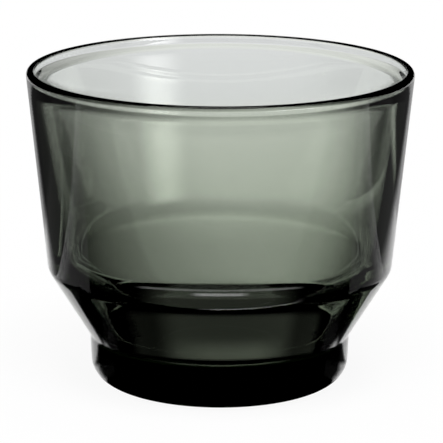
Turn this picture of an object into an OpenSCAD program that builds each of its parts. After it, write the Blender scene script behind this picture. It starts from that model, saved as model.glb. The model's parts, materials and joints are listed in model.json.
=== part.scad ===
// Cortado glass: a one-piece smoked glass tumbler with a flared wall, a conical lower bowl and a thick foot.
// Millimetres, +Z up. The origin is on the table, under the middle of the foot.

/* [Rim] */
// Outer diameter across the rim, at the lip's outer corner before rounding
rim_d = 76; // [72:0.5:80]
// Thickness of the lip and of the even band below it, measured level
rim_t = 1.55; // [1.5:0.05:2]
// Rounding of the lip's outer edge
lip_outer_round = 1; // [0.4:0.05:1]
// Rounding of the lip's inner edge
lip_inner_round = 0.3; // [0.1:0.05:0.4]
// Height of the even band, from the top of the lip down
band_h = 1.75; // [1.4:0.05:2.5]
// Height of the inner flank below the band, on which the wall grows thicker
flank_h = 1.2; // [1.15:0.05:2]
// Thickness that the wall gains on the flank
flank_t = 0.4; // [0.2:0.05:0.45]
// Rounding between the band and the flank
band_round = 1.2; // [0.5:0.1:1.5]
// Rounding between the flank and the wall
flank_round = 6; // [2:0.5:7]

/* [Wall and shoulder] */
// Overall height
height = 62.4; // [58:0.2:68]
// Outer diameter at the shoulder, where the wall turns into the cone, before rounding
shoulder_d = 68; // [65:0.5:71]
// Height of the shoulder above the table
shoulder_z = 22.8; // [20:0.2:26]
// Rounding of the shoulder
shoulder_round = 4; // [3:0.5:12]

/* [Foot] */
// Diameter where the cone meets the foot
waist_d = 51.6; // [48:0.2:55]
// Height of the foot
foot_h = 9.5; // [8:0.1:11]
// Diameter of the foot at the table, before rounding
foot_d = 50.7; // [48:0.1:54]
// Rounding of the foot's bottom edge
foot_round = 4.4; // [2:0.1:6]
// Rounding in the crease between the cone and the foot
waist_round = 2; // [0.5:0.1:5]

/* [Inside] */
// Thickness of the wall at the height of the shoulder, measured level
wall_t = 3.8; // [3:0.1:4.5]
// Thickness of the cone, measured square to it
cone_t = 4.1; // [3:0.1:5]
// Rounding where the inner wall turns into the cone
bend_round = 14; // [4:0.5:18]
// Height of the inner floor above the table
floor_z = 10.6; // [8:0.1:13]
// Rounding between the inner floor and the cone
floor_round = 6; // [2:0.5:8]

/* [Underside] */
// Diameter of the shallow hollow under the foot
hollow_d = 35; // [24:0.5:37]
// Depth of that hollow at its middle
hollow_h = 0.4; // [0.3:0.1:2]

/* [Hidden] */
$fa = 2;
$fs = 0.2;
smoke = [0.33, 0.35, 0.31, 0.6];
// Ratio by which each arc is drawn too large, so that it crosses the sides that it blends
arc_ratio = 1.0003;
// Ratio by which the trimming of a corner reaches past it, seen from the arc's centre
trim_ratio = 1.05;

// Direction of the cone, up and outwards
cone_way = [shoulder_d - waist_d, 2 * (shoulder_z - foot_h)] / 2;
// A point on the cone's inner face
cone_inside = [shoulder_d / 2, shoulder_z] + cone_t * [-cone_way[1], cone_way[0]] / norm(cone_way);
// Radius of the outer wall at a height
function wall_r(z) = (shoulder_d + (rim_d - shoulder_d) * (z - shoulder_z) / (height - shoulder_z)) / 2;
lip_inside = [rim_d / 2 - rim_t, height];
band_foot = [wall_r(height - band_h) - rim_t, height - band_h];
flank_foot = [wall_r(height - band_h - flank_h) - rim_t - flank_t, height - band_h - flank_h];
wall_inside = [shoulder_d / 2 - wall_t, shoulder_z];

function cross2(a, b) = a[0] * b[1] - a[1] * b[0];
// Where the line through p along u meets the line through q along v
function meet(p, u, q, v) = p + u * cross2(q - p, v) / cross2(u, v);
function unit(v) = v / norm(v);

// Half the angle at corner p, between its neighbours a and b
function half_angle(a, p, b) = acos(unit(a - p) * unit(b - p)) / 2;
// Centre of an arc of radius r that touches both sides of the corner
function arc_centre(a, p, b, r) = p + unit(unit(a - p) + unit(b - p)) * r / sin(half_angle(a, p, b));
// Where that arc leaves the side towards the neighbour a
function arc_end(a, p, b, r) = p + unit(a - p) * r / tan(half_angle(a, p, b));

bend_corner = meet(flank_foot, wall_inside - flank_foot, cone_inside, cone_way);
floor_corner = meet(cone_inside, cone_way, [0, floor_z], [1, 0]);

// The wall's section, counter-clockwise from the axis: each corner with its rounding
section = [
    [[0, 0], 0],
    [[foot_d / 2, 0], foot_round],
    [[waist_d / 2, foot_h], waist_round],
    [[shoulder_d / 2, shoulder_z], shoulder_round],
    [[rim_d / 2, height], lip_outer_round],
    [lip_inside, lip_inner_round],
    [band_foot, band_round],
    [flank_foot, flank_round],
    [bend_corner, bend_round],
    [floor_corner, floor_round],
    [[0, floor_z], 0]
];

// Corners joined by straight sides and true arcs. Outer corners are rounded off. Inner ones are filled as
// far as a straight cut from one arc end to the other, and the arc is then taken out of that filling.
module rounded_outline(corners) {
    n = len(corners);
    // For each corner: the corner before it, the corner itself, the one after it and the rounding
    bends = [for (i = [0:n - 1]) [
        corners[(i + n - 1) % n][0], corners[i][0], corners[(i + 1) % n][0], corners[i][1]]];
    difference() {
        polygon([for (c = bends) each is_filled(c) ? arc_ends(c) : [c[1]]]);
        for (c = bends)
            if (is_filled(c))
                arc(c);
            else if (c[3] > 0)
                trimming(c);
    }
}
function is_filled(c) = c[3] > 0 && cross2(c[1] - c[0], c[2] - c[1]) < 0;
function arc_ends(c) = [arc_end(c[0], c[1], c[2], c[3]), arc_end(c[2], c[1], c[0], c[3])];

module arc(c) {
    translate(arc_centre(c[0], c[1], c[2], c[3]))
        circle(r = c[3] * arc_ratio);
}

// What rounding takes off an outer corner
module trimming(c) {
    centre = arc_centre(c[0], c[1], c[2], c[3]);
    ends = arc_ends(c);
    difference() {
        polygon(concat([centre], [for (p = [ends[0], c[1], ends[1]]) centre + (p - centre) * trim_ratio]));
        arc(c);
    }
}

// The section of the hollow under the foot, a shallow dome
module hollow() {
    dome_r = (hollow_d * hollow_d / 4 + hollow_h * hollow_h) / (2 * hollow_h);
    intersection() {
        translate([0, hollow_h - dome_r])
            circle(r = dome_r);
        translate([0, -hollow_h])
            square([hollow_d, 3 * hollow_h]);
    }
}

module glass() {
    color(smoke)
        rotate_extrude()
            difference() {
                rounded_outline(section);
                hollow();
            }
}

glass();
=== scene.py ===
# %% [markdown]
# # A smoked cortado glass
# This lesson dresses one drinking glass: a short tumbler of grey-green smoked glass with a flared wall, a
# conical lower bowl and a thick foot. It is pressed from one gob of glass, so it is one piece and nothing moves.
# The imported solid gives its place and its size. Here it gets a finer surface, the glass itself and a white
# studio, because clear things are drawn by what stands around them.

# %% Load the frame
import json
import math

import bpy
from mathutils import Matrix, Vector

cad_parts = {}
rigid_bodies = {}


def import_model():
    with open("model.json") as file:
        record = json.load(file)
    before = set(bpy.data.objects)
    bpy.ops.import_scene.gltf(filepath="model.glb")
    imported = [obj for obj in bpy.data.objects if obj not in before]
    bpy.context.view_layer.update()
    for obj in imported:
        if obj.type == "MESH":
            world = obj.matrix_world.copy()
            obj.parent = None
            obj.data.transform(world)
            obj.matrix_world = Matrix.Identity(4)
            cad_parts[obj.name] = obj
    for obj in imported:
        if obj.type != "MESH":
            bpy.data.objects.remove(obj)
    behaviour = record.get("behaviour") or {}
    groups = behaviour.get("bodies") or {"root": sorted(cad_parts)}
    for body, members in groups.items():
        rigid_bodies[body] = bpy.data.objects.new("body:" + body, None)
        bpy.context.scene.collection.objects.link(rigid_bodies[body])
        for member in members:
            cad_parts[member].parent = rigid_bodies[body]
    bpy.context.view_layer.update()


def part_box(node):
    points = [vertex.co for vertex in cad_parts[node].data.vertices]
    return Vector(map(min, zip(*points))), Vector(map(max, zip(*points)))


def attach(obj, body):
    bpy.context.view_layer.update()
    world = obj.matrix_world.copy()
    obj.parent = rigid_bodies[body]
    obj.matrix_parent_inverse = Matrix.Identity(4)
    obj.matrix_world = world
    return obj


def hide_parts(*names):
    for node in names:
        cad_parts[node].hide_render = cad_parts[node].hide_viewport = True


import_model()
cad_low, cad_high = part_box("glass")
print("The solid stands", round((cad_high[2] - cad_low[2]) * 1000, 2), "mm high")

# %% [markdown]
# ## The section
# A turned form is known by its section: half a slice through the axis. Only its corners are written down, each
# with the radius that the mould and the flame gave it. The rim is a thin even band. Below it a short flank makes
# the wall thicker, and from there it grows slowly down to the shoulder, as pressed glass does, so that the tone
# deepens towards the foot. A bevel modifier on a spun polygon would round the corners too, but with one width.

# %% Corners of the section, in millimetres: distance from the axis and height
MM = 0.001
HEIGHT, RIM_R, RIM_THICK = 62.4, 38.0, 1.55
LIP_OUTER_ROUND, LIP_INNER_ROUND = 1.0, 0.3
BAND_H, BAND_ROUND = 1.75, 1.2
FLANK_H, FLANK_THICK, FLANK_ROUND = 1.2, 0.4, 6.0
SHOULDER_R, SHOULDER_Z, SHOULDER_ROUND = 34.0, 22.8, 4.0
WAIST_R, FOOT_H, WAIST_ROUND = 25.8, 9.5, 2.0
FOOT_R, FOOT_ROUND = 25.35, 4.4
WALL_THICK, CONE_THICK, BEND_ROUND = 3.8, 4.1, 14.0
FLOOR_Z, FLOOR_ROUND = 10.6, 6.0
HOLLOW_R, HOLLOW_H = 17.5, 0.4


def crossing(p, u, q, v):
    """Where the line through p along u meets the line through q along v."""
    return p + u * (q - p).cross(v) / u.cross(v)


def wall_radius(z):
    """The outer wall's distance from the axis at a height."""
    return SHOULDER_R + (RIM_R - SHOULDER_R) * (z - SHOULDER_Z) / (HEIGHT - SHOULDER_Z)


shoulder = Vector((SHOULDER_R, SHOULDER_Z))
cone = shoulder - Vector((WAIST_R, FOOT_H))
cone_inside = shoulder + Vector((-cone.y, cone.x)).normalized() * CONE_THICK
band_z = HEIGHT - BAND_H
flank_z = band_z - FLANK_H
flank_foot = Vector((wall_radius(flank_z) - RIM_THICK - FLANK_THICK, flank_z))
down_the_wall = Vector((SHOULDER_R - WALL_THICK, SHOULDER_Z)) - flank_foot
bend = crossing(flank_foot, down_the_wall, cone_inside, cone)

corners = [
    (Vector((HOLLOW_R, 0)), 0),
    (Vector((FOOT_R, 0)), FOOT_ROUND),
    (Vector((WAIST_R, FOOT_H)), WAIST_ROUND),
    (shoulder, SHOULDER_ROUND),
    (Vector((RIM_R, HEIGHT)), LIP_OUTER_ROUND),
    (Vector((RIM_R - RIM_THICK, HEIGHT)), LIP_INNER_ROUND),
    (Vector((wall_radius(band_z) - RIM_THICK, band_z)), BAND_ROUND),
    (flank_foot, FLANK_ROUND),
    (bend, BEND_ROUND),
    (crossing(cone_inside, cone, Vector((0, FLOOR_Z)), Vector((1, 0))), FLOOR_ROUND),
    (Vector((0, FLOOR_Z)), 0),
]
print("Inside, the wall turns into the cone", round(bend.y, 2), "mm above the table")

# %% [markdown]
# ## Arcs and straight sides
# Each corner becomes an arc that touches both its sides, so that the wall runs into the cone, and the cone into
# the foot, without a crease. The straight sides get points as well, because smooth shading spread over a long
# face beside a narrow arc bends the light where the real wall is flat.

# %% Points of the section
deg = math.radians
ARC_STEP = deg(3)
SIDE_STEP = 0.7
DOME_STEPS = 24


def rounded(before, corner, after, radius):
    """Points of the arc of that radius that touches both sides of a corner."""
    u, v = (before - corner).normalized(), (after - corner).normalized()
    half = u.angle(v) / 2
    centre = corner + (u + v).normalized() * radius / math.sin(half)
    start = corner + u * radius / math.tan(half) - centre
    end = corner + v * radius / math.tan(half) - centre
    turn = start.angle_signed(end)
    count = max(2, math.ceil(abs(turn) / ARC_STEP))
    turned = [-turn * i / count for i in range(count + 1)]
    return [centre + Vector((start.x * math.cos(t) - start.y * math.sin(t),
                             start.x * math.sin(t) + start.y * math.cos(t))) for t in turned]


def with_sides(points):
    """The same points, with more of them along each straight side."""
    full = [points[0]]
    for a, b in zip(points, points[1:]):
        count = max(1, math.ceil((b - a).length / SIDE_STEP))
        full += [a.lerp(b, i / count) for i in range(1, count + 1)]
    return full


outline = [corners[0][0]]
for (before, _), (corner, radius), (after, _) in zip(corners, corners[1:], corners[2:]):
    outline += rounded(before, corner, after, radius)
outline.append(corners[-1][0])

# Under the foot the glass is hollowed a little, so that it stands on a ring.
dome_r = (HOLLOW_R ** 2 + HOLLOW_H ** 2) / (2 * HOLLOW_H)
dome_turns = [math.asin(HOLLOW_R / dome_r) * i / DOME_STEPS for i in range(DOME_STEPS)]
dome = [Vector((dome_r * math.sin(t), HOLLOW_H - dome_r + dome_r * math.cos(t))) for t in dome_turns]
section = dome + with_sides(outline)
print("The section has", len(section), "points")

# %% [markdown]
# ## Spinning the section
# The rings are laid out in code, point by point. The screw modifier spins a section as well, but it leaves the
# two ends on the axis as stacks of loose points, and refraction shows every seam.

# %% The body of revolution
AROUND = 256


def spun(name, half_slice):
    """A closed mesh: the half slice, whose ends lie on the axis, turned about Z."""
    rings = half_slice[1:-1]
    turns = [2 * math.pi * k / AROUND for k in range(AROUND)]
    points = [(0, 0, half_slice[0].y * MM)]
    points += [(p.x * MM * math.cos(t), p.x * MM * math.sin(t), p.y * MM) for p in rings for t in turns]
    points.append((0, 0, half_slice[-1].y * MM))
    top, last = 1 + (len(rings) - 1) * AROUND, len(points) - 1
    faces = []
    for k in range(AROUND):
        n = (k + 1) % AROUND
        faces.append((0, 1 + n, 1 + k))
        for i in range(len(rings) - 1):
            a, b = 1 + i * AROUND, 1 + (i + 1) * AROUND
            faces.append((a + k, a + n, b + n, b + k))
        faces.append((top + k, top + n, last))
    mesh = bpy.data.meshes.new(name)
    mesh.from_pydata(points, [], faces)
    mesh.shade_smooth()
    return mesh


glass = bpy.data.objects.new("cortado_glass", spun("cortado_glass", section))
bpy.context.scene.collection.objects.link(glass)
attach(glass, "root")
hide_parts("glass")
print("The glass has", len(glass.data.polygons), "faces")

# %% [markdown]
# ## Small tools for materials
# A material is a tree of nodes. Each node could be set up by hand in three or four lines, but then the tree is
# hard to follow, so one function adds a node with its settings and links. Colours are written as they look on a
# screen, and one function turns them into the linear light that a renderer reckons with. Soft edges come up again
# and again in a studio, so they have a function as well.

# %% Helpers for materials


def linear(hex_colour):
    """An sRGB hex colour as linear light, with full alpha."""
    shares = [int(hex_colour[i:i + 2], 16) / 255 for i in (1, 3, 5)]
    return (*(c / 12.92 if c <= 0.04045 else ((c + 0.055) / 1.055) ** 2.4 for c in shares), 1.0)


def add(tree, kind, settings=None, links=None):
    """Adds a node: settings by input or attribute name, links from inputs to other nodes' outputs."""
    made = tree.nodes.new(kind)
    for name, value in (settings or {}).items():
        if isinstance(name, int) or name in made.inputs:
            made.inputs[name].default_value = value
        else:
            setattr(made, name, value)
    for name, source in (links or {}).items():
        tree.links.new(source, made.inputs[name])
    return made


def new_material(name):
    """An empty material and its node tree."""
    made = bpy.data.materials.new(name)
    made.use_nodes = True
    made.node_tree.nodes.clear()
    return made, made.node_tree


def soft_edges(tree, *edges):
    """The product of soft edges, each given as a measure, two places on it and the shares at these places."""
    product = None
    for measure, here, there, at_here, at_there in edges:
        edge = add(tree, "ShaderNodeMapRange", {"interpolation_type": "SMOOTHSTEP", "From Min": here,
                   "From Max": there, "To Min": at_here, "To Max": at_there}, {"Value": measure}).outputs[0]
        product = edge if product is None else add(
            tree, "ShaderNodeMath", {"operation": "MULTIPLY"}, {0: product, 1: edge}).outputs[0]
    return product


print("The screen's mid grey is", round(linear("#808080")[0], 3), "in linear light")

# %% [markdown]
# ## Smoked soda-lime glass
# A tumbler like this is pressed from soda-lime glass and then fire-polished, so its skin is smooth. The tint is in
# the glass and not on it, so it belongs in the volume: light fades with every millimetre that it goes through.
# Looking across a wall gives a pale grey green, through both walls a deeper one, and along a wall or through the
# foot nearly black. A tinted surface would give the same tone everywhere and look like plastic.
# A pressed wall is never quite true either. The mould and the plunger leave faint upright waves, some millimetres
# wide and a few thousandths of a millimetre deep, and the ring on which the glass stands is rubbed dull by tables.

# %% Smoked soda-lime glass
WAVE_WIDTH, WAVE_LENGTH, WAVE_DEPTH = 6.2 * MM, 62 * MM, 0.006 * MM
SCUFFED_H, SCUFFED_ROUGHNESS = 0.3 * MM, 0.3
IOR_SODA_LIME = 1.52
TINT, TINT_PER_METRE = linear("#B0BDA6"), 246.0

smoked, tree = new_material("smoked_soda_lime_glass")
place = add(tree, "ShaderNodeTexCoord")
waved = add(tree, "ShaderNodeMapping", {"Scale": (1 / WAVE_WIDTH, 1 / WAVE_WIDTH, 1 / WAVE_LENGTH)},
            {"Vector": place.outputs["Object"]})
waves = add(tree, "ShaderNodeTexNoise", {"Scale": 1.0, "Detail": 1.0}, {"Vector": waved.outputs[0]})
ripple = add(tree, "ShaderNodeBump", {"Strength": 1.0, "Distance": WAVE_DEPTH}, {"Height": waves.outputs[0]})
height = add(tree, "ShaderNodeSeparateXYZ", links={"Vector": place.outputs["Object"]}).outputs["Z"]
scuffed = soft_edges(tree, (height, SCUFFED_H / 2, SCUFFED_H, SCUFFED_ROUGHNESS, 0.0))
# The surface is fire-polished: no roughness but at the foot, so highlights stay crisp.
surface = add(tree, "ShaderNodeBsdfPrincipled", {
    "Base Color": linear("#FFFFFF"), "IOR": IOR_SODA_LIME, "Transmission Weight": 1.0},
    {"Roughness": scuffed, "Normal": ripple.outputs[0]})
# Iron and a trace of cobalt and nickel make the grey green: red and blue fade a little faster than green.
tint = add(tree, "ShaderNodeVolumeAbsorption", {"Color": TINT, "Density": TINT_PER_METRE})
add(tree, "ShaderNodeOutputMaterial", links={"Surface": surface.outputs["BSDF"], "Volume": tint.outputs["Volume"]})
glass.data.materials.append(smoked)
kept = [math.exp(-TINT_PER_METRE * (1 - c) * WALL_THICK * MM) for c in TINT[:3]]
print("At the shoulder the wall lets through these shares of red, green and blue:", [round(k, 2) for k in kept])

# %% [markdown]
# ## The white table
# The picture was taken on a white sweep lit so evenly that it leaves no horizon. The paper here has its own white
# for the camera and for what the glass shows of it. A small part of it stays lit paper and keeps a faint shadow.
# The room gives little light, but the camera sees it white too, so that a low view has no grey sky.

# %% Floor and world
FLOOR_SIZE = 6.0
PAPER_GLOW = 0.93
ROOM_LIGHT = 0.35


def sheet(name, centre, size):
    """A flat sheet of the studio."""
    w, d = size[0] / 2, size[1] / 2
    mesh = bpy.data.meshes.new(name)
    mesh.from_pydata([(-w, -d, 0), (w, -d, 0), (w, d, 0), (-w, d, 0)], [], [(0, 1, 2, 3)])
    return staged(name, mesh, centre)


def staged(name, mesh, centre=(0, 0, 0)):
    """An object that belongs to the studio and not to the glass."""
    made = bpy.data.objects.new(name, mesh)
    made.location = centre
    bpy.context.scene.collection.objects.link(made)
    return made


floor = sheet("floor", (0, 0, 0), (FLOOR_SIZE, FLOOR_SIZE))
paper, tree = new_material("white_paper_sweep")
lit = add(tree, "ShaderNodeBsdfDiffuse", {"Color": linear("#FEFEFE")})
white = add(tree, "ShaderNodeEmission", {"Color": linear("#FFFFFF"), "Strength": 1.0})
path = add(tree, "ShaderNodeLightPath")
seen = add(tree, "ShaderNodeMath", {"operation": "MAXIMUM"},
           {0: path.outputs["Is Camera Ray"], 1: path.outputs["Is Glossy Ray"]})
seen = add(tree, "ShaderNodeMath", {"operation": "MAXIMUM"},
           {0: seen.outputs[0], 1: path.outputs["Is Transmission Ray"]})
share = add(tree, "ShaderNodeMath", {"operation": "MULTIPLY", 1: PAPER_GLOW}, {0: seen.outputs[0]})
both = add(tree, "ShaderNodeMixShader", links={0: share.outputs[0], 1: lit.outputs[0], 2: white.outputs[0]})
add(tree, "ShaderNodeOutputMaterial", links={"Surface": both.outputs[0]})
floor.data.materials.append(paper)

world = bpy.data.worlds.new("studio")
bpy.context.scene.world = world
world.use_nodes = True
world.node_tree.nodes.clear()
ray = add(world.node_tree, "ShaderNodeLightPath")
shown = add(world.node_tree, "ShaderNodeMath", {"operation": "MAXIMUM", 1: ROOM_LIGHT},
            {0: ray.outputs["Is Camera Ray"]})
sky = add(world.node_tree, "ShaderNodeBackground", {"Color": linear("#FFFFFF")}, {"Strength": shown.outputs[0]})
add(world.node_tree, "ShaderNodeOutputWorld", links={"Surface": sky.outputs["Background"]})
print("The table is", FLOOR_SIZE, "m wide, and", PAPER_GLOW, "of what shows of it is plain white")

# %% [markdown]
# ## Dark cards beside the glass
# On plain white a clear glass has no edges. Photographers lay dark cards just outside the picture, and the glass
# bends their dark into its sides. The cards here are films on the table that let only a share of the light
# through. The camera and the table do not see them. Rays that went through the glass see one set of films, and
# rays that its surface mirrors see another, so each can be laid where it is needed.

# %% Films on the table, in metres
CARD_Z = 0.0004


def hidden(card, glossy, transmission):
    """Keeps a card from the camera, the table and the shadows."""
    card.visible_camera = card.visible_diffuse = card.visible_shadow = card.visible_volume_scatter = False
    card.visible_glossy, card.visible_transmission = glossy, transmission
    return card


def covered(tree, size, feather):
    """1 on a sheet of that size, falling to 0 at its sides over the feathers' width."""
    place = add(tree, "ShaderNodeTexCoord")
    off_axis = add(tree, "ShaderNodeVectorMath", {"operation": "ABSOLUTE"}, {0: place.outputs["Object"]})
    off = add(tree, "ShaderNodeSeparateXYZ", links={"Vector": off_axis.outputs[0]})
    return soft_edges(tree, *((off.outputs[axis], side / 2 - soft, side / 2, 1, 0)
                              for axis, side, soft in zip("XY", size, feather)))


def film(name, centre, size, feather, level, z, glossy=False, turn=0.0):
    """A film with soft edges that lets a share of the light through, or a tinted share if level is a colour."""
    made = hidden(sheet(name, (*centre, z), size), glossy, not glossy)
    made.rotation_euler.z = turn
    celluloid, tree = new_material(name)
    cover = covered(tree, size, feather)
    open_side = add(tree, "ShaderNodeBsdfTransparent", {"Color": linear("#FFFFFF")})
    tone = level if isinstance(level, tuple) else (level, level, level, 1.0)
    toned = add(tree, "ShaderNodeBsdfTransparent", {"Color": tone})
    mixed = add(tree, "ShaderNodeMixShader", links={0: cover, 1: open_side.outputs[0], 2: toned.outputs[0]})
    add(tree, "ShaderNodeOutputMaterial", links={"Surface": mixed.outputs[0]})
    made.data.materials.append(celluloid)


def flag(name, p, q, width, feather, ends, level, z=CARD_Z, glossy=False):
    """A film whose half-way line runs from p to q, and which lies on the outer side of that line."""
    p, q = Vector(p), Vector(q)
    along = (q - p).normalized()
    out = Vector((along.y, -along.x)) * (1 if q.x > 0 else -1)
    centre = (p + q) / 2 + out * (width - feather) / 2
    film(name, centre, (width, (q - p).length), (feather, ends), level, z, glossy,
         math.atan2(along.y, along.x) - math.pi / 2)


# A flag has its line's two ends, its width, the width of its soft sides and soft ends, and its share of light.
# Seen through the sides of the glass, dark and with a wide soft edge, as the wall's tone has
flag("left_flag", (-0.0135, 0.020), (-0.0525, 0.245), 0.18, 0.074, 0.008, 0.03)
flag("right_flag", (0.0280, 0.020), (0.0478, 0.105), 0.15, 0.038, 0.015, 0.02)
flag("right_back", (0.0458, 0.090), (0.0562, 0.245), 0.15, 0.042, 0.015, 0.02)
# Black films beside the foot paint the shade on the table there
flag("left_foot_shade", (-0.025, -0.060), (-0.025, 0.044), 0.12, 0.004, 0.008, 0.0)
flag("right_foot_shade", (0.025, -0.060), (0.025, 0.044), 0.12, 0.004, 0.008, 0.0)
# Seen through both walls, a little darker towards the glass: a painted shadow of the glass on the table behind it,
# and a faint band of painted shade further back
film("near_painted_shadow", (0.005, 0.060), (0.24, 0.14), (0.03, 0.050), 0.71, CARD_Z * 2)
film("belt_painted_shade", (0.0, 0.190), (1.6, 0.046), (0.03, 0.012), 0.92, CARD_Z * 2.5)
# Seen through the far wall alone, a trace bluer and dimmer to the sides and far away
flag("left_far", (-0.030, 0.235), (-0.030, 0.50), 0.40, 0.02, 0.02, 0.92)
flag("right_far", (0.032, 0.235), (0.032, 0.50), 0.40, 0.02, 0.02, 0.93)
film("far_film", (0.0, 0.700), (1.6, 1.0), (0.03, 0.05), linear("#FAF9FF"), CARD_Z * 2)
film("back_film", (0.0, 0.790), (1.6, 1.0), (0.03, 0.07), 0.88, CARD_Z * 3)
unseen = [o for o in bpy.context.scene.objects if not o.visible_camera]
print("Films that show through the glass:", len(unseen))

# %% [markdown]
# ## Painted shadow under the foot
# The thick foot gathers what lies under it and spreads it over the lower bowl. It is black, as on a table where no
# light gets under the glass, and that shadow is painted: a round black film reaches a little past the foot, and a
# disc inside its rim stops the light that would leak along the ring that stands on the paper.

# %% Painted shadow under the foot: mat and disc
SHADOW_AT, SHADOW_R, SHADOW_SOFT = (0, -0.006), 0.039, 0.005
SHADOW_DISC_R, SHADOW_DISC_SOFT = 0.0245, 0.0005


def table_measures(tree):
    """Measures on the table: to the right, to the front, away from the axis, and the angle off the front."""
    spot = add(tree, "ShaderNodeNewGeometry").outputs["Position"]
    axes = add(tree, "ShaderNodeSeparateXYZ", links={"Vector": spot})
    front = add(tree, "ShaderNodeMath", {"operation": "MULTIPLY", 1: -1.0}, {0: axes.outputs["Y"]}).outputs[0]
    away = add(tree, "ShaderNodeVectorMath", {"operation": "LENGTH"}, {0: spot}).outputs["Value"]
    angle = add(tree, "ShaderNodeMath", {"operation": "ARCTAN2"}, {0: axes.outputs["X"], 1: front}).outputs[0]
    return axes.outputs["X"], front, away, angle


def round_shadow_film(name, centre, radius, soft, z, glossy):
    """A black round film with a soft edge, for painted shadow."""
    made = hidden(sheet(name, (*centre, z), (radius * 2.4, radius * 2.4)), glossy, True)
    dark_film, tree = new_material(name)
    place = add(tree, "ShaderNodeTexCoord")
    away = add(tree, "ShaderNodeVectorMath", {"operation": "LENGTH"}, {0: place.outputs["Object"]})
    past = soft_edges(tree, (away.outputs["Value"], radius - soft, radius, 0, 1))
    clear = add(tree, "ShaderNodeBsdfTransparent", links={"Color": past})
    add(tree, "ShaderNodeOutputMaterial", links={"Surface": clear.outputs[0]})
    made.data.materials.append(dark_film)


round_shadow_film("foot_painted_shadow", SHADOW_AT, SHADOW_R, SHADOW_SOFT, CARD_Z / 2, False)
round_shadow_film("foot_painted_shadow_disc", (0, 0), SHADOW_DISC_R, SHADOW_DISC_SOFT, CARD_Z / 4, True)
print("The mat reaches", round(SHADOW_R / MM - FOOT_R, 1), "mm past the foot")

# %% [markdown]
# ## What the surface mirrors
# The outer surface mirrors the table as well: strongly at the outline, where the wall is seen at a slant, and a
# few parts in a hundred at the front. Left and right the films leave a bright rim of white paper at the outline
# and dim the rest, so that the glass gets its light edge and stays dark beside it.

# %% Films for mirrored light
MIRROR_Z = CARD_Z * 4

flag("left_dim", (-0.055, 0.085), (-0.085, 0.30), 0.30, 0.020, 0.02, 0.50, MIRROR_Z * 1.2, True)
flag("right_dim", (0.060, 0.095), (0.085, 0.30), 0.30, 0.020, 0.02, 0.55, MIRROR_Z * 1.2, True)
flag("left_side", (-0.0368, -0.028), (-0.0634, 0.0423), 0.30, 0.030, 0.02, 0.19, MIRROR_Z, True)
flag("right_side", (0.0540, -0.034), (0.0778, 0.0423), 0.30, 0.030, 0.02, 0.19, MIRROR_Z, True)
flag("left_back", (-0.0558, 0.0223), (-0.1307, 0.22), 0.30, 0.030, 0.02, 0.07, MIRROR_Z, True)
flag("right_rear", (0.0716, 0.0223), (0.1334, 0.22), 0.30, 0.030, 0.02, 0.10, MIRROR_Z, True)
flag("left_near", (-0.0205, -0.0131), (-0.040, 0.0087), 0.035, 0.003, 0.004, 0.02, MIRROR_Z * 1.1, True)
flag("left_edge", (-0.0255, -0.0027), (-0.060, 0.0232), 0.035, 0.003, 0.004, 0.02, MIRROR_Z * 1.3, True)
flag("right_near", (0.0205, -0.0131), (0.040, 0.0082), 0.035, 0.003, 0.004, 0.02, MIRROR_Z * 1.1, True)
flag("right_edge", (0.0255, -0.0003), (0.060, 0.0255), 0.035, 0.003, 0.004, 0.02, MIRROR_Z * 1.3, True)
mirrored = [o for o in bpy.context.scene.objects if o.visible_glossy and not o.visible_transmission]
print("Films that only mirrored light sees:", len(mirrored))

# %% [markdown]
# ## The card in front
# A dark card lies before the glass, seen only in mirrored light, and paints dark reflections into its front.
# Through the near opening, a ring close to the foot, the cone shows a painted reflection: a band of dim white that
# brightens towards the waist. The far opening paints the lens-shaped glimmer in the lower wall. To both sides of
# the foot the card is open, for the light edges there.

# %% The front card: painted dark reflections with painted bright openings
CARD_WIDTH, CARD_DEPTH = 0.36, 0.22
RING_FROM, RING_TO, WAIST_BAND_TO = (0.0284, 0.0290), (0.0368, 0.0385), (0.0298, 0.0335)
GLIMMER_FROM, GLIMMER_TO = (0.056, 0.060), (0.0868, 0.0885)
RING_LEVEL, WAIST_BAND_LEVEL, GLIMMER_LEVEL = 0.33, 0.69, 0.42
BESIDE_TO = (0.0145, 0.0155)

painted_front_reflection = hidden(
    sheet("painted_front_reflection", (0, -CARD_DEPTH / 2, CARD_Z * 0.4), (CARD_WIDTH, CARD_DEPTH)), True, False)
board, tree = new_material("painted_front_reflection")
_, front, away, angle = table_measures(tree)
slant = add(tree, "ShaderNodeMath", {"operation": "ABSOLUTE"}, {0: angle}).outputs[0]
# Painted reflection: the near ring, brighter towards the waist
brighter = soft_edges(tree, (angle, deg(-40), deg(0), 0, WAIST_BAND_LEVEL), (angle, deg(18), deg(42), 1, 0),
                      (away, *WAIST_BAND_TO, 1, 0))
level = add(tree, "ShaderNodeMath", {"operation": "ADD", 1: RING_LEVEL}, {0: brighter}).outputs[0]
ring = soft_edges(tree, (angle, deg(-56), deg(-47), 0, 1), (angle, deg(-38), deg(-20), 0.18, 1),
                  (angle, deg(34), deg(46), 1, 0.3), (angle, deg(59), deg(66), 1, 0),
                  (away, *RING_FROM, 0, 1), (away, *RING_TO, 1, 0))
ring = add(tree, "ShaderNodeMath", {"operation": "MULTIPLY"}, {0: ring, 1: level})
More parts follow.
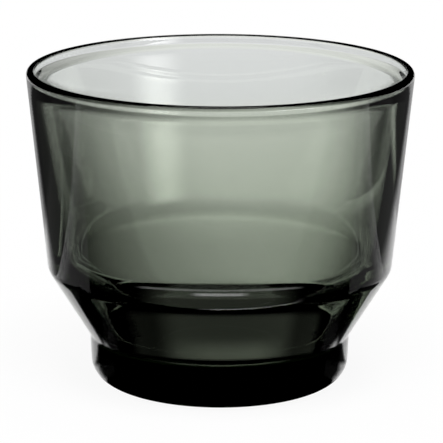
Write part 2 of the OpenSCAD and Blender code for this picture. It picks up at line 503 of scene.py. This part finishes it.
# Painted reflection: the lens-shaped glimmer in the lower wall
glimmer = soft_edges(tree, (front, *GLIMMER_FROM, 0, GLIMMER_LEVEL), (away, *GLIMMER_TO, 1, 0),
                     (slant, deg(24), deg(46), 1, 0))
beside = soft_edges(tree, (slant, deg(69), deg(72), 0, 1), (front, *BESIDE_TO, 1, 0))
openings = add(tree, "ShaderNodeMath", {"operation": "MAXIMUM"}, {0: ring.outputs[0], 1: glimmer})
toned = add(tree, "ShaderNodeVectorMath", {"operation": "SCALE", 0: linear("#EEFFE0")[:3]},
            {"Scale": openings.outputs[0]})
toned = add(tree, "ShaderNodeVectorMath", {"operation": "MAXIMUM"}, {0: toned.outputs[0], 1: beside})
clear = add(tree, "ShaderNodeBsdfTransparent", links={"Color": toned.outputs[0]})
add(tree, "ShaderNodeOutputMaterial", links={"Surface": clear.outputs[0]})
painted_front_reflection.data.materials.append(board)
print("The near opening is a ring of", round((RING_TO[1] - RING_FROM[0]) / MM, 1), "mm")

# %% [markdown]
# ## Bright lines in the lower wall
# The picture shows a short bright dash, a fine thread and a flat curve in the lower wall: lamps or windows,
# mirrored by the outer skin. Real lamps would do it too, but they would also light the table, so three thin strips
# on a clear sheet stand in for them. Only mirrored rays see that sheet, and nothing of it shows through the glass.

# %% Strips of light in the far opening
STRIPS_AT, STRIPS_SIZE = (0.01, -0.070, CARD_Z * 0.7), (0.18, 0.06)
DASH_FROM, DASH_TO, DASH_LEVEL = (0.0838, 0.0844), (0.0850, 0.0856), 4.0
THREAD_FROM, THREAD_TO, THREAD_LEVEL = (0.0860, 0.0863), (0.0869, 0.0872), 1.6
CURVE_FROM, CURVE_TO, CURVE_LEVEL = (0.0530, 0.0545), (0.0575, 0.0590), 3.2
CURVE_LEFT, CURVE_RIGHT = (-0.012, 0.0), (0.036, 0.058)

strips = hidden(sheet("light_strips", STRIPS_AT, STRIPS_SIZE), True, False)
tube, tree = new_material("light_strips")
right, front, away, angle = table_measures(tree)
slant = add(tree, "ShaderNodeMath", {"operation": "ABSOLUTE"}, {0: angle}).outputs[0]
dash = soft_edges(tree, (away, *DASH_FROM, 0, DASH_LEVEL), (away, *DASH_TO, 1, 0),
                  (slant, deg(9), deg(17), 1, 0))
thread = soft_edges(tree, (away, *THREAD_FROM, 0, THREAD_LEVEL), (away, *THREAD_TO, 1, 0),
                    (slant, deg(38), deg(48), 1, 0))
curve = soft_edges(tree, (front, *CURVE_FROM, 0, CURVE_LEVEL), (front, *CURVE_TO, 1, 0),
                   (right, *CURVE_LEFT, 0, 1), (right, *CURVE_RIGHT, 1, 0))
strength = add(tree, "ShaderNodeMath", {"operation": "ADD"}, {0: dash, 1: thread})
strength = add(tree, "ShaderNodeMath", {"operation": "ADD"}, {0: strength.outputs[0], 1: curve})
shine = add(tree, "ShaderNodeEmission", {"Color": linear("#FFFFFF")}, {"Strength": strength.outputs[0]})
clear = add(tree, "ShaderNodeBsdfTransparent", {"Color": linear("#FFFFFF")})
both = add(tree, "ShaderNodeAddShader", links={0: clear.outputs[0], 1: shine.outputs[0]})
add(tree, "ShaderNodeOutputMaterial", links={"Surface": both.outputs[0]})
strips.data.materials.append(tube)
print("The dash is", round((DASH_TO[1] - DASH_FROM[0]) / MM, 1), "mm wide on the table")

# %% [markdown]
# ## Collar and tent
# The foot's front would mirror the openings too, though it is black. A low black collar, seen only in mirrored
# light, stands before it and paints a dark reflection on the foot. Around it all hangs a dark tent, because the
# room behind a photographer is dark. Without it the lip and the cone would mirror a white sky that was not there.

# %% Black films around the foot and around the table: a painted dark reflection on the foot, and a dark tent
COLLAR_R, COLLAR_LOW, COLLAR_HIGH, COLLAR_HALF, COLLAR_SIDES = 0.0262, 0.00005, 0.0091, deg(55), 40
TENT_R, TENT_LOW, TENT_HIGH, TENT_SIDES = 1.6, -0.02, 2.4, 48

dark_film, tree = new_material("dark_reflection_film")
black = add(tree, "ShaderNodeBsdfTransparent", {"Color": linear("#000000")})
add(tree, "ShaderNodeOutputMaterial", links={"Surface": black.outputs[0]})


def upright(name, radius, low, high, turns, lid):
    """A sheet that stands on a circle, with a lid over it if it goes all the way round."""
    count = len(turns)
    points = [(radius * math.sin(t), -radius * math.cos(t), z) for z in (low, high) for t in turns]
    pairs = [(k, (k + 1) % count) for k in range(count if lid else count - 1)]
    faces = [(a, b, count + b, count + a) for a, b in pairs]
    mesh = bpy.data.meshes.new(name)
    mesh.from_pydata(points, [], faces + ([tuple(range(count, 2 * count))] if lid else []))
    mesh.materials.append(dark_film)
    return staged(name, mesh)


collar_turns = [COLLAR_HALF * (2 * k / COLLAR_SIDES - 1) for k in range(COLLAR_SIDES + 1)]
tent_turns = [2 * math.pi * k / TENT_SIDES for k in range(TENT_SIDES)]
# The collar: a painted dark reflection on the foot's front
hidden(upright("collar", COLLAR_R, COLLAR_LOW, COLLAR_HIGH, collar_turns, False), True, False)
hidden(upright("dark_tent", TENT_R, TENT_LOW, TENT_HIGH, tent_turns, True), True, True)
print("The collar stands", round(COLLAR_R / MM - FOOT_R, 2), "mm before the foot")

# %% [markdown]
# ## Light
# One wide soft box hangs to the right in front. The far wall throws it back as the pale upright streak left of the
# middle, and its cloth fades at the sides, so the streak has no hard edge. It hangs so low that the table hides
# more than half of it: it is brightest at the table's height and fades upwards, and the streak with it. An area
# lamp would have an even face and hard edges. A broad overhead lamp lights the paper and lays the faint shadow.
# The glass itself does not show that lamp.

# %% Soft box and overhead lamp
SOFT_BOX_AT, SOFT_BOX_SIZE = (0.682, -0.731, -0.057), (0.80, 0.60)
SOFT_BOX_FEATHER, SOFT_BOX_LEVEL = (0.40, 0.20), 9.2
OVERHEAD_LEVEL, OVERHEAD_SPREAD, OVERHEAD_LEAN, OVERHEAD_TURN = 2.2, deg(30), deg(20), deg(8)

box = hidden(sheet("soft_box", SOFT_BOX_AT, SOFT_BOX_SIZE), True, True)
box.rotation_euler = Vector((-SOFT_BOX_AT[0], -SOFT_BOX_AT[1], 0)).to_track_quat("-Z", "Y").to_euler()
cloth, tree = new_material("soft_box_cloth")
cover = covered(tree, SOFT_BOX_SIZE, SOFT_BOX_FEATHER)
glow = add(tree, "ShaderNodeEmission", {"Color": linear("#FFFFFF"), "Strength": SOFT_BOX_LEVEL})
clear = add(tree, "ShaderNodeBsdfTransparent", {"Color": linear("#FFFFFF")})
both = add(tree, "ShaderNodeMixShader", links={0: cover, 1: clear.outputs[0], 2: glow.outputs[0]})
add(tree, "ShaderNodeOutputMaterial", links={"Surface": both.outputs[0]})
box.data.materials.append(cloth)

lamp = bpy.data.lights.new("overhead", "SUN")
lamp.energy = OVERHEAD_LEVEL
lamp.angle = OVERHEAD_SPREAD
overhead = bpy.data.objects.new("overhead", lamp)
overhead.rotation_euler = (OVERHEAD_LEAN, 0, OVERHEAD_TURN)
bpy.context.scene.collection.objects.link(overhead)
overhead.visible_glossy = overhead.visible_transmission = False
print("The soft box is", round(math.hypot(*SOFT_BOX_AT[:2]), 2), "m from the glass")

# %% [markdown]
# ## Camera
# The rim and the foot are ellipses in the picture, and their flatness gives the height of the camera. How much
# narrower the far side of the rim is gives its distance. The lens is long and looks down a little.

# %% Camera at the picture's viewing angle
PHOTO_PX = 443
FOCAL_PX = 2870.0
AXIS_LEFT_PX = 1.55
CAMERA_BACK, CAMERA_UP = 0.550, 0.16929
CAMERA_DOWN, CAMERA_ROLL = 14.061, 0.18
SENSOR_WIDTH = 36.0

lens = bpy.data.cameras.new("camera")
lens.sensor_width = SENSOR_WIDTH
lens.lens = FOCAL_PX / PHOTO_PX * lens.sensor_width
lens.shift_x = AXIS_LEFT_PX / PHOTO_PX
camera = bpy.data.objects.new("camera", lens)
camera.location = (0, -CAMERA_BACK, CAMERA_UP)
camera.rotation_mode = "ZXY"
camera.rotation_euler = (deg(90 - CAMERA_DOWN), 0, deg(CAMERA_ROLL))
bpy.context.scene.collection.objects.link(camera)
bpy.context.scene.camera = camera
print("The lens has a focal length of", round(lens.lens), "mm")

# %% [markdown]
# ## Bounces
# Light crosses four faces of glass before it reaches the table, and it runs to and fro inside the wall and the
# foot. With too few bounces such paths end black, and the rim turns into a dark band.

# %% Render settings
scene = bpy.context.scene
scene.view_settings.view_transform = "Standard"
scene.cycles.max_bounces = 32
scene.cycles.transmission_bounces = 32
scene.cycles.glossy_bounces = 16
print("Light may bounce", scene.cycles.max_bounces, "times")
